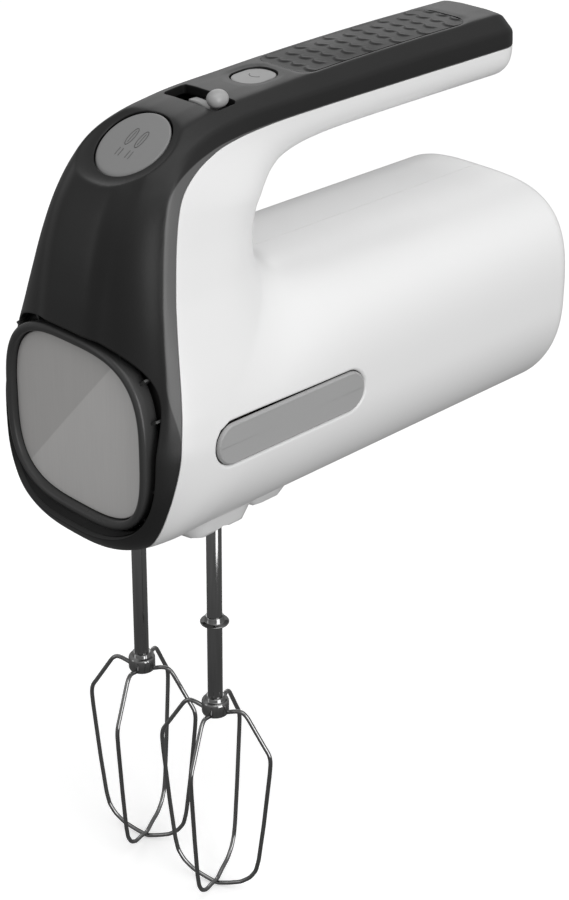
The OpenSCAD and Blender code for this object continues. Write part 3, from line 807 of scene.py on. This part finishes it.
for side, word in ((1, "right"), (-1, "left")):
    piece(word + "_shell", "root", "housing_white", WHITE, *housing(side), nodes=[word + "_housing"])
COVER_CUTTERS = {
    "seam": (seam_field, 0.25, SHELL_WALL, None),
    "nose": (nose_field, 0.9, 12.0, (0, 1, 0)),
    "well": (well_field, 0.35, 6.0, (0, 0, -1)),
    "slot": (slot_field, 0.3, 3.0, (0, 0, -1)),
    "turbo": (turbo_field, 0.3, 3.0, (0, 0, -1)),
    "grip": (grip_field, 0.08, SHELL_WALL, (0, 0, -1))}
cover_body = close_shell(cut_all(SKIN, COVER_CUTTERS), SHELL_WALL, COVER_CUTTERS)
cover = piece("cover_shell", "root", "cover_charcoal", COVER_PLASTIC, *cover_body, nodes=["top_cover"])
# Distance from the joint, read by the material to place the painted highlight band; it grows where the
# band fades out.
cover_z = cover_body[0][:, 2]
on_band = ramp(205, 228, cover_z) * (1 - ramp(282, 300, cover_z))
band = bpy.data.meshes[cover.data.name].attributes.new("band", "FLOAT", "POINT")
band.data.foreach_set("value", np.abs(seam_field(cover_body[0])) + BAND * 1.1 * (1 - on_band))


def skin_height(x, y):
    """Height of the upper skin at points in plan."""
    top = (POINTS[:, 2] > 262) & (NORMALS[:, 2] > 0.3)
    tx, ty, tz = POINTS[top].T
    out = np.empty(len(x))
    for i, (px, py) in enumerate(zip(x, y)):
        d2 = (tx - px) ** 2 + (ty - py) ** 2
        near = np.argpartition(d2, 6)[:6]
        w = 1 / (d2[near] + 0.05)
        out[i] = (tz[near] * w).sum() / w.sum()
    return out


# ---- grip scales
SCALE_PITCH = (6.2, 7.0)
SCALE_HALF = (3.05, 4.6)
SCALE_HEIGHT = 0.45
GRIP_STEP = 0.5
GRIP_DEEP = 1.4
GRIP_EDGE = np.array(GRIP_HALF) - 0.05


def grip_outline(p):
    return pill_field(p[:, 0], p[:, 1], (0, GRIP_Y), GRIP_EDGE, GRIP_ROUND)


def scale_relief(u, v):
    """Share of the full height at places on the grip: staggered scales, raised towards the nose."""
    relief = np.zeros(len(u))
    for row in range(-7, 8):
        for column in range(-3, 4):
            cx = (column + 0.5 * (row % 2)) * SCALE_PITCH[0]
            cy = row * SCALE_PITCH[1]
            if abs(cx) > 10.6 or abs(cy) > GRIP_HALF[1]:
                continue
            r = np.hypot((u - cx) / SCALE_HALF[0], (v - cy - 1.2) / SCALE_HALF[1])
            lip = (1 - ramp(0.86, 1.0, r)) * ramp(0.35, 0.95, r) * ramp(1.0, -2.2, v - cy)
            relief = np.maximum(relief, lip)
    return relief


def grip_scales():
    """Rubber inlay: a grid of points fitted to the outline, raised into scales, over a flat back."""
    xs, ys = (np.arange(-half, half + 0.01, GRIP_STEP) for half in GRIP_EDGE)
    gx, gy = np.meshgrid(xs, ys)
    flat = np.c_[gx.ravel(), gy.ravel() + GRIP_Y]
    # Points outside the outline are pulled onto it.
    for _ in range(3):
        d = grip_outline(flat)
        slope = np.c_[grip_outline(flat + (0.02, 0)) - d, grip_outline(flat + (0, 0.02)) - d] / 0.02
        flat = np.where((d > 0)[:, None], flat - slope * d[:, None], flat)
    base = skin_height(flat[:, 0], flat[:, 1])
    fade = ramp(0.0, 0.7, -grip_outline(flat))
    z = base + 0.02 + SCALE_HEIGHT * scale_relief(flat[:, 0], flat[:, 1] - GRIP_Y) * fade
    top = np.c_[flat, np.minimum(z, TOP_Z - 0.02)]
    index = np.arange(len(top)).reshape(len(ys), len(xs))
    corners = (index[:-1, :-1], index[:-1, 1:], index[1:, 1:], index[1:, :-1])
    faces = np.stack([c.ravel() for c in corners], axis=1).tolist()
    faces += [[i + len(top) for i in f[::-1]] for f in faces]
    loop = np.r_[index[0], index[1:, -1], index[-1, -2::-1], index[-2:0:-1, 0]].tolist()
    for a, b in zip(loop, loop[1:] + loop[:1]):
        faces.append([b, a, a + len(top), b + len(top)])
    return np.r_[top, np.c_[flat, base - GRIP_DEEP]], faces


closed("grip_scales", "root", "grip_rubber", RUBBER, [grip_scales()], ["grip_pad"], 50)

# ---- nose: bezel and badge
NOSE_AXES = [(1, 0, 0), (0, 0, 1), (0, -1, 0)]   # plate's x, y and height in the mixer's frame
BEZEL_HALF = (35.2, 33.3)
BEZEL_HOLE = (32.25, 29.95)
BEZEL_EDGE = 1.5         # radius of the ring's front edge
BADGE_HALF = (31.9, 29.6)
BADGE_DEPTH = 2.7
BADGE_EDGE = 0.4
BADGE_CROWN = 0.5
ROUNDISH, SQUARISH = 3.0, 3.2   # powers of the outlines of the ring and of the badge


def nose_rings(steps, middle=BADGE_Z):
    """Rings about the nose: (half width, half height, power, height towards the front)."""
    return placed([np.c_[superellipse(a, b, n, 144), np.full(144, h)] for a, b, n, h in steps],
                  (0, BEZEL_Y, middle), NOSE_AXES)


def drawn_in(half, power, steps):
    """Steps for nose_rings from (how far drawn in, height towards the front)."""
    return [(half[0] - inward, half[1] - inward, power, height) for inward, height in steps]


def edge_steps(r, turns):
    """Rounded front edge of radius r: how far drawn in, and the height from the front."""
    return [(r * (1 - math.cos(q)), r * math.sin(q) - r) for q in turns]


bezel_steps = drawn_in(BEZEL_HALF, ROUNDISH, [(0.4, -6.9), (0.1, -6.5), (0, -BEZEL_EDGE)])
bezel_steps += drawn_in(BEZEL_HALF, ROUNDISH, edge_steps(BEZEL_EDGE, quarter_turn(6, 15)))
bezel_steps += drawn_in(BEZEL_HOLE, SQUARISH, [(-0.7, -0.15), (-0.25, -0.45), (0, -1.1), (0, -6.6)])


def ring_body(rings):
    """A closed ring: the last loop joins back to the first."""
    count, k = len(rings[0]), np.arange(len(rings[0]))
    faces = []
    for r in range(len(rings)):
        a, b = r * count + k, r * count + (k + 1) % count
        c, d = ((r + 1) % len(rings)) * count + k, ((r + 1) % len(rings)) * count + (k + 1) % count
        faces += np.c_[a, b, d, c].tolist()
    return turned_out(np.concatenate(rings), faces)


RIBS = 14
ring_line = superellipse(*BEZEL_HALF, ROUNDISH, RIBS * 8) + (0, BADGE_Z)
opening_line = superellipse(*OPENING, ROUNDISH, RIBS * 8) + (0, OPENING_Z)


def rib(i):
    """Small rib across the air slot between bezel and cover, at the outlines' point i."""
    start, end = ring_line[i], opening_line[i]
    mid, reach = (start + end) / 2, np.linalg.norm(end - start)
    c, s = (end - start) / reach
    rings = plate(pill(reach / 2 + 0.2, 0.45, 0.2, 4), [(0.1, -7.9), (0, -7.6), (0, -4.3), (0.1, -4.1)])
    tilt = [(c, 0, s), (-s, 0, c), (0, -1, 0)]
    return outward(placed(rings, (mid[0], BEZEL_Y, mid[1]), tilt))


bezel = [ring_body(nose_rings(bezel_steps))] + [rib(8 * i + 4) for i in range(RIBS)]
closed("bezel_ring", "root", "cover_charcoal", BEZEL, bezel, ["front_bezel"], 40)
well_steps = drawn_in(OPENING, ROUNDISH, [(0.5, -9.5), (0.3, -9.3), (0.3, -8.4), (0.6, -8.2)])
well_steps += [(24, 23, ROUNDISH, -8.2), (10, 10, ROUNDISH, -8.2), (2, 2, ROUNDISH, -8.2)]
solid("nose_well", "root", "cover_charcoal", CHARCOAL, [nose_rings(well_steps, OPENING_Z)])
badge_side = [(0.05, -5.1), (0, -BADGE_DEPTH - 0.5)]
badge_side += [(inward, height - BADGE_DEPTH)
               for inward, height in edge_steps(BADGE_EDGE, quarter_turn(6))]
badge_steps = drawn_in(BADGE_HALF, SQUARISH, badge_side)
for share in (0.96, 0.88, 0.76, 0.62, 0.46, 0.3, 0.15, 0.03):
    a, b = ((half - BADGE_EDGE) * share for half in BADGE_HALF)
    badge_steps.append((a, b, mix(2.2, SQUARISH, share), BADGE_CROWN * (1 - share ** 2) - BADGE_DEPTH))
solid("badge_face", "root", "badge_metal", BADGE, [nose_rings(badge_steps)], nodes=["badge_plate"])

# ---- side inlays
top = PLATE_X - BODY_W + 0.05
inlay_steps = [(0.3, -1.4), (0, -1.1), (0, top - 0.9), (0.12, top - 0.62), (0.5, top - 0.2),
               (0.75, top - 0.1), (1.05, top - 0.16), (1.35, top - 0.17)]
inlay_rings = plate(pill(*INLAY_HALF, INLAY_HALF[1] - 0.01, 24), inlay_steps)
inlays = [placed(inlay_rings, (side * BODY_W, INLAY_Y, INLAY_Z), [(0, side, 0), (0, 0, 1), (side, 0, 0)])
          for side in (1, -1)]
solid("side_inlays", "root", "key_grey", INLAY, inlays, ["side_plates"], 40)

# ---- eject key
def key_surface(x, y):
    """Height of the key's face: a plane with the slope of the nose, faintly crowned."""
    r2 = (x * x + ((y - KEY_Y) / math.cos(KEY_TILT)) ** 2) / KEY_R ** 2
    return KEY_Z + (y - KEY_Y) * math.tan(KEY_TILT) - 0.25 * r2


def eject_key():
    """Rings of the key: an upright side, a rounded edge and a face with the slope of the nose."""
    rings = []
    outline = ellipse(*KEY_HALF, 96)
    normal = outline_normals(outline)
    steps = [(0.2, -6.0), (0.0, -5.7), (0.0, -1.1)] + edge_steps(0.8, quarter_turn(6))
    for inward, drop in steps:
        flat = outline - normal * inward + (0, KEY_Y)
        rings.append(np.c_[flat, key_surface(flat[:, 0], flat[:, 1]) + drop])
    edge = rings[-1]
    for share in (0.95, 0.85, 0.7, 0.55, 0.4, 0.25, 0.1, 0.02):
        flat = (edge[:, :2] - (0, KEY_Y)) * share + (0, KEY_Y)
        rings.append(np.c_[flat, key_surface(flat[:, 0], flat[:, 1])])
    return rings


solid("eject_key", "ejector", "key_grey", KEY, [eject_key()], nodes=["eject_button"])


def stroke(points, r):
    """Thin raised mark along points in plan, lying on the key."""
    flat = np.array(points, float)
    fine = smooth_line(flat, 0.3, 2) if len(flat) > 2 else np.linspace(flat[0], flat[-1], 12)
    return sweep(np.c_[fine, key_surface(fine[:, 0], fine[:, 1])], r, 8)


# Generic sign for taking the beaters out: two plain loops, each with a bar in it and two below it.
marks = []
t = np.linspace(0, 2 * np.pi + 0.15, 32)
for mid in (-2.3, 2.3):
    marks.append(stroke(np.c_[mid + 1.25 * np.cos(t), KEY_Y + 1.6 + 3.0 * np.sin(t)], 0.16))
    marks.append(stroke([(mid, KEY_Y - 0.4), (mid, KEY_Y + 3.6)], 0.13))
    for x in (mid - 0.75, mid + 0.75):
        marks.append(stroke([(x, KEY_Y - 2.6), (x, KEY_Y - 5.2)], 0.14))
solid("eject_marks", "ejector", "key_grey", MARK, marks, sharp=60)

# ---- speed lever
LEVER_Y = 13.0
LEVER_AT = (0, LEVER_Y, LEVER_Z)
LEVER_TURN = math.radians(21.6)   # lean of the knob at rest
SECTOR_R = 20.7
STEM_HALF = 1.9
KNOB_R = 26.3           # middle of the knob from the lever's axis
KNOB_HALF = (3.1, 3.9, 2.9)


def lever_axes(turn):
    """Axes of a part of the lever that leans by turn."""
    c, s = math.cos(turn), math.sin(turn)
    return [(c, 0, -s), (0, 1, 0), (s, 0, c)]


sector_section = pill(STEM_HALF, 1.4, 0.5, 5)
sector_ring = np.c_[np.zeros(len(sector_section)), sector_section[:, 0], SECTOR_R + sector_section[:, 1]]
sector = [placed([sector_ring], LEVER_AT, lever_axes(q))[0] for q in np.radians(np.linspace(-5, 27, 25))]
stem = placed(plate(pill(STEM_HALF, STEM_HALF, 0.5, 5), [(0.1, 0), (0, 0.3), (0, 19.3), (0.3, 19.7)]),
              LEVER_AT, lever_axes(0))
post = placed(lathe([(1.4, 20.2), (1.55, 20.4), (1.55, 24.6), (1.4, 24.8)], 0, 0, 24),
              LEVER_AT, lever_axes(LEVER_TURN))
solid("lever_sector", "speed_control", "key_grey", KEY, [sector, stem, post], ["speed_lever"])
knob_rings = []
for q in np.radians(np.linspace(-82, 86, 25)):
    c, s = math.cos(q) ** 0.85, math.sin(q)
    line = superellipse(KNOB_HALF[0] * c, KNOB_HALF[1] * c, 2.2, 48)
    knob_rings.append(np.c_[line, np.full(48, KNOB_R + KNOB_HALF[2] * s)])
knob = placed(knob_rings, LEVER_AT, lever_axes(LEVER_TURN))
solid("lever_knob", "speed_control", "knob_light", KNOB, [knob], ["speed_knob"])

# ---- turbo key
TURBO_SLOPE = math.tan(math.radians(2.7))
turbo_steps = [(0.3, 299.0), (0, 299.3)]
turbo_steps += [(inward, TURBO_TOP - 0.25 + height)
                for inward, height in edge_steps(0.5, quarter_turn(6))]
turbo_rings = [np.c_[r[:, 0], r[:, 1] + TURBO_Y, r[:, 2] + r[:, 1] * TURBO_SLOPE - 0.1]
               for r in plate(pill(6.55, 7.65, 5.8, 20), turbo_steps, crown=0.2)]
turbo_stem = lathe([(1.9, 296.6), (2.0, 296.7), (2.0, 299.6), (1.9, 299.7)], 0, TURBO_Y)
solid("turbo_key", "turbo_key", "key_grey", KEY, [turbo_rings, turbo_stem], ["turbo_button"])
t = np.radians(np.linspace(205, 335, 24))
arc = 2.6 * np.c_[np.cos(t), np.sin(t)] + (0, 1.6)
arc_path = np.c_[arc[:, 0], arc[:, 1] + TURBO_Y, TURBO_TOP - 0.25 + arc[:, 1] * TURBO_SLOPE]
solid("turbo_mark", "turbo_key", "key_grey", MARK, [sweep(arc_path, 0.2, 8)], sharp=60)

# ---- beaters
WIRE_R = 0.8
LOOP_R = 21.8
SHAFT_R = 2.75
HUB_EDGE = HUB_HIGH - 1.5   # top of the hub's wide part
HUB_Z = (HUB_LOW + HUB_EDGE) / 2


def loop_path(turn, drop, x):
    """Centre line of one wire loop, as in the CAD but without its corners."""
    half = [(4.4, HUB_Z - 2), (8, HUB_Z - 0.6), (10.4, HUB_Z - 0.2), (12.4, HUB_Z - 1.8),
            (LOOP_R - 2.2, 68.8), (LOOP_R - 0.5, 66.2), (LOOP_R, 63.2), (LOOP_R - 0.3, 58),
            (LOOP_R - 2.6, 34), (LOOP_R - 4.6, 17), (LOOP_R - 5.8, 11.5), (LOOP_R - 8.2, 7.6),
            (LOOP_R - 12, 4.4 - drop / 3), (5, 1.6 + WIRE_R - drop), (0, WIRE_R - drop)]
    line = half + [(-r, z) for r, z in half[-2::-1]]
    line = smooth_line(line, 0.8, 2)
    c, s = math.cos(math.radians(turn)), math.sin(math.radians(turn))
    return np.c_[x + line[:, 0] * c, line[:, 0] * s, np.maximum(line[:, 1], WIRE_R)]


def hub(x):
    profile = [(0.2, HUB_LOW + 0.3), (2.9, HUB_LOW + 0.3), (3.1, HUB_LOW + 0.05), (4.2, HUB_LOW + 0.05),
               (4.75, HUB_LOW + 0.3), (4.98, HUB_LOW + 0.9), (4.98, HUB_EDGE - 1.0),
               (4.8, HUB_EDGE - 0.45), (4.3, HUB_EDGE - 0.1), (3.75, HUB_EDGE),
               (3.58, HUB_EDGE + 0.2), (3.55, HUB_HIGH - 0.35), (3.3, HUB_HIGH - 0.1),
               (2.85, HUB_HIGH - 0.05), (0.2, HUB_HIGH - 0.05)]
    return lathe(profile, x, 0)


def shaft(x):
    """The rod, with the groove near its top that the catch holds."""
    low = HUB_LOW + 0.1
    profile = [(0.2, low), (2.4, low), (2.7, low + 0.3), (SHAFT_R, low + 0.6), (SHAFT_R, 195.9),
               (SHAFT_R - 0.45, 196.5), (SHAFT_R - 0.5, 197.0), (SHAFT_R - 0.45, 197.5), (SHAFT_R, 198.1),
               (SHAFT_R, SHAFT_TOP - 0.9), (SHAFT_R - 0.3, SHAFT_TOP - 0.2),
               (SHAFT_R - 0.7, SHAFT_TOP - 0.03), (0.2, SHAFT_TOP - 0.03)]
    return lathe(profile, x, 0)


def lug(x, turn):
    """Flat key across the rod that the wheel drives."""
    c, s = math.cos(math.radians(turn)), math.sin(math.radians(turn))
    rings = plate(pill(4.18, 0.58, 0.3, 4), [(0.2, 177.6), (0, 177.9), (0, 185.2), (0.2, 185.45)])
    return placed(rings, (x, 0, 0), [(c, s, 0), (-s, c, 0), (0, 0, 1)])


for word, x in (("left", -AXIS_X), ("right", AXIS_X)):
    body = word + "_beater"
    for tag, turn, drop in (("a", 22.5, 0.0), ("b", 112.5, -2 * WIRE_R - 0.1)):
        wire = sweep(loop_path(turn, drop, x), WIRE_R, 14)
        solid(f"{word}_loop_{tag}", body, "beater_chrome", CHROME, [wire], [f"{word}_wire_{tag}"], 60)
    solid(word + "_hub_cap", body, "beater_chrome", CHROME, [hub(x)], [word + "_hub"], 50)
    rod = [shaft(x), lug(x, 22.5), lug(x, 112.5)]
    solid(word + "_rod", body, "beater_chrome", CHROME, rod, [word + "_shaft"], 50)
collar = [(2.8, 0.05), (4.9, 0.02), (5.15, 0.2), (5.18, 0.5), (4.9, 0.75), (3.7, 0.85), (3.45, 1.1),
          (3.45, 2.6), (3.2, 2.95), (2.8, 2.98)]
collar_rings = lathe([(r, COLLAR_Z + z) for r, z in collar], AXIS_X, 0)
solid("collar_ring", "right_beater", "beater_chrome", CHROME, [collar_rings], ["right_collar"], 50)

# ---- heel: gland and feet
def y_lathe(profile, x, z):
    """Rings of a turned body about an axis along the mixer: profile holds (radius, place)."""
    return placed(lathe(profile, 0, 0), (x, 0, z), [(1, 0, 0), (0, 0, -1), (0, 1, 0)])


gland = y_lathe([(3.5, 153.1), (5.7, 153.1), (6.0, 153.5), (6.0, 156.9), (8.8, 157.1), (8.8, 159.8),
                 (6.0, 160.0), (6.0, GLAND_Y - 0.5), (5.8, GLAND_Y - 0.15), (5.4, GLAND_Y - 0.02),
                 (4.1, GLAND_Y - 0.02), (3.7, GLAND_Y - 0.2), (3.5, GLAND_Y - 0.6)], 0, GLAND_Z)
closed("gland_ring", "root", "grip_rubber", RUBBER, [ring_body(gland)], ["cord_gland"], 50)
foot = [(0.1, REAR_Y), (3.9, REAR_Y), (4.0, REAR_Y + 0.2), (3.9, FOOT_TIP - 0.35),
        (3.5, FOOT_TIP - 0.08), (2.9, FOOT_TIP - 0.02), (2.0, FOOT_TIP - 0.1), (0.1, FOOT_TIP - 0.12)]
feet = [y_lathe(foot, x, z) for x in (-22, 22) for z in (180, 214)]
solid("heel_pads", "root", "grip_rubber", RUBBER, feet, ["heel_feet"])

# ---- inner parts keep their CAD shape
INNER = {
    "gear_carrier": moulded("carrier_acetal", grey(0.55), grey(0.62), (0.4, 0.5), 2500, 0.08),
    "gear_nylon": moulded("gear_nylon_plastic", grey(0.66, 0.03), grey(0.72, 0.03), (0.38, 0.5),
                          2500, 0.08),
    "dark": moulded("inner_dark_plastic", grey(0.03), grey(0.05), (0.4, 0.55), 2500, 0.1),
    "board": moulded("board_green_resin", (0.02, 0.10, 0.04), (0.03, 0.14, 0.06), (0.3, 0.45), 2000, 0.1),
    "copper": metal("winding_copper_wire", (0.50, 0.22, 0.10), (0.62, 0.30, 0.15), (0.25, 0.4),
                    (1, 0.1, 1), 1500, 0.3),
    "brass": metal("bearing_brass_metal", (0.50, 0.38, 0.16), (0.60, 0.46, 0.22), (0.25, 0.4),
                   (1, 1, 1), 800, 0.1),
    "iron": metal("core_iron_sheets", grey(0.22), grey(0.34), (0.35, 0.5), (0.05, 1, 0.05), 1800, 0.3),
    "aluminium": metal("motor_aluminium_metal", grey(0.5), grey(0.6), (0.35, 0.5), (1, 1, 1), 700, 0.1),
    "steel": STEEL}
USES = {
    "gear_carrier": "gear_carrier left_push_cup right_push_cup",
    "gear_nylon": "left_gear right_gear",
    "dark": "carbon_brushes cooling_fan ejector_fork ejector_guide turbo_switch speed_switch",
    "board": "control_board",
    "copper": "field_coils commutator",
    "brass": "front_bush brush_holders worm",
    "iron": "stator_core armature_core",
    "aluminium": "rear_bracket",
    "steel": "armature_shaft eject_spring case_screws lever_pin turbo_spring"}
for use, nodes in USES.items():
    for node in nodes.split():
        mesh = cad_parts[node].data
        mesh.materials.clear()
        mesh.materials.append(INNER[use])

# ---- floor, light and camera
SIZE = 30.0             # half size of the floor in metres


def floor_material():
    """Pale studio floor with a faint mottling."""
    material, tree, node = shader("studio_floor", grey(0.93), 0.6, specular=0.15)
    tree.links.new(tint(tree, spread(tree, noise(tree, 3, 2), 0, 1), grey(0.92), grey(0.94)),
                   node.inputs["Base Color"])
    node.inputs["Emission Color"].default_value = (1, 1, 1, 1)
    node.inputs["Emission Strength"].default_value = 0.34
    return material


floor_mesh = bpy.data.meshes.new("floor")
corners = [(x, y, 0) for x, y in ((-SIZE, -SIZE), (SIZE, -SIZE), (SIZE, SIZE), (-SIZE, SIZE))]
floor_mesh.from_pydata(corners, [], [(0, 1, 2, 3)])
floor_mesh.materials.append(floor_material())
floor = link("floor", floor_mesh)
# The floor stays out of reflections and bounced light, as a cut-out studio ground does.
floor.visible_diffuse = False
floor.visible_glossy = False

world = bpy.data.worlds.new("studio")
bpy.context.scene.world = world
world.use_nodes = True
sky = world.node_tree
direction = add(sky, "ShaderNodeTexCoord")
axes = add(sky, "ShaderNodeSeparateXYZ", links=[("Vector", direction.outputs["Generated"])])
glow = spread(sky, axes.outputs["Z"], 0.16, 0.50, -0.6, 0.7)
sky.nodes["Background"].inputs["Color"].default_value = (1, 1, 1, 1)
sky.links.new(glow, sky.nodes["Background"].inputs["Strength"])


def softbox(name, place, size, power):
    """An area light facing the middle of the mixer; sizes in metres, power in watts."""
    light = bpy.data.lights.new(name, "AREA")
    light.shape = "RECTANGLE"
    light.size, light.size_y = size
    light.energy = power
    obj = link(name, light)
    obj.location = place
    obj.rotation_euler = (Vector((0, 0, 0.18)) - Vector(place)).to_track_quat("-Z", "Y").to_euler()


softbox("top_box", (0.5, -0.1, 1.5), (1.5, 1.5), 8)
softbox("right_box", (1.5, -0.1, 0.4), (0.9, 1.4), 15.5)
softbox("front_box", (-0.9, -1.4, 0.6), (0.5, 1.2), 1.6)
softbox("back_box", (-1.2, 1.2, 1.0), (1.2, 0.8), 3.6)

# The camera looks along -back from DISTANCE, past AIM_Z on the beater axes, shifted right and up.
AZIMUTH, ELEVATION, ROLL = (math.radians(d) for d in (44.724, 27.702, 0.518))
DISTANCE = 759.8
AIM_Z = 66.0
SHIFT = (39.3, 100.2)
back = np.array([math.sin(AZIMUTH) * math.cos(ELEVATION), -math.cos(AZIMUTH) * math.cos(ELEVATION),
                 math.sin(ELEVATION)])
level = np.array([math.cos(AZIMUTH), math.sin(AZIMUTH), 0.0])
rise = np.cross(back, level)
right = level * math.cos(ROLL) + rise * math.sin(ROLL)
up = np.cross(back, right)
stand = np.array([0, AXIS_Y, AIM_Z]) + right * SHIFT[0] + up * SHIFT[1] + back * DISTANCE
lens = bpy.data.cameras.new("camera")
lens.lens = 81.75
lens.clip_start, lens.clip_end = 0.01, 50
camera = link("camera", lens)
camera.matrix_world = Matrix([[right[i], up[i], back[i], stand[i] * MM] for i in range(3)]
                             + [[0, 0, 0, 1]])
bpy.context.scene.camera = camera
bpy.context.scene.view_settings.view_transform = "Standard"
